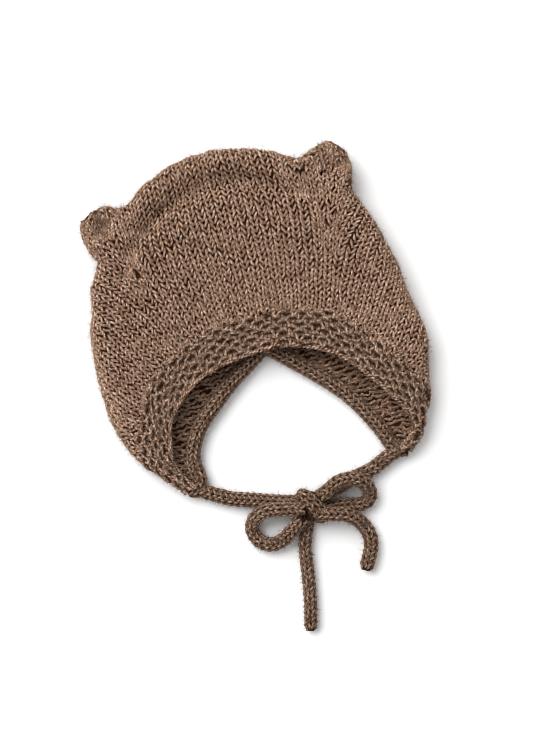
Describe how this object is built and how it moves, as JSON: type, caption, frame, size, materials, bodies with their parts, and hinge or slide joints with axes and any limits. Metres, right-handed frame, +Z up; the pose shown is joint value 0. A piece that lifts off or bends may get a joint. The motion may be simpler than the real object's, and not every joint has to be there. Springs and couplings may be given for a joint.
{
  "type": "knitted baby bonnet",
  "caption": "Hand-knitted baby bonnet with small bear ears, lying flat on its back with a moss stitch face band and knitted ties in a bow",
  "frame": {"origin": "on the surface the bonnet lies on, under the middle of the bonnet without its ties", "axes": "+X to the right across the face opening, +Y towards the crown, +Z up out of the face opening"},
  "size_m": [0.1893, 0.2812, 0.0237],
  "materials": {
    "knit_wool": "heathered brown wool, plain knitting",
    "band_wool": "heathered brown wool, moss stitch",
    "cord_wool": "heathered brown wool, knitted cord"
  },
  "bodies": {
    "root": {"bonnet_body": "knit_wool", "front_band": "band_wool", "neck_edging": "cord_wool", "ear_left": "knit_wool", "ear_right": "knit_wool", "bow_knot": "cord_wool", "tie_left": "cord_wool", "tie_right": "cord_wool", "bow_loop_left": "cord_wool", "bow_loop_right": "cord_wool", "tie_end_left": "cord_wool", "tie_end_right": "cord_wool"}
  },
  "joints": []
}
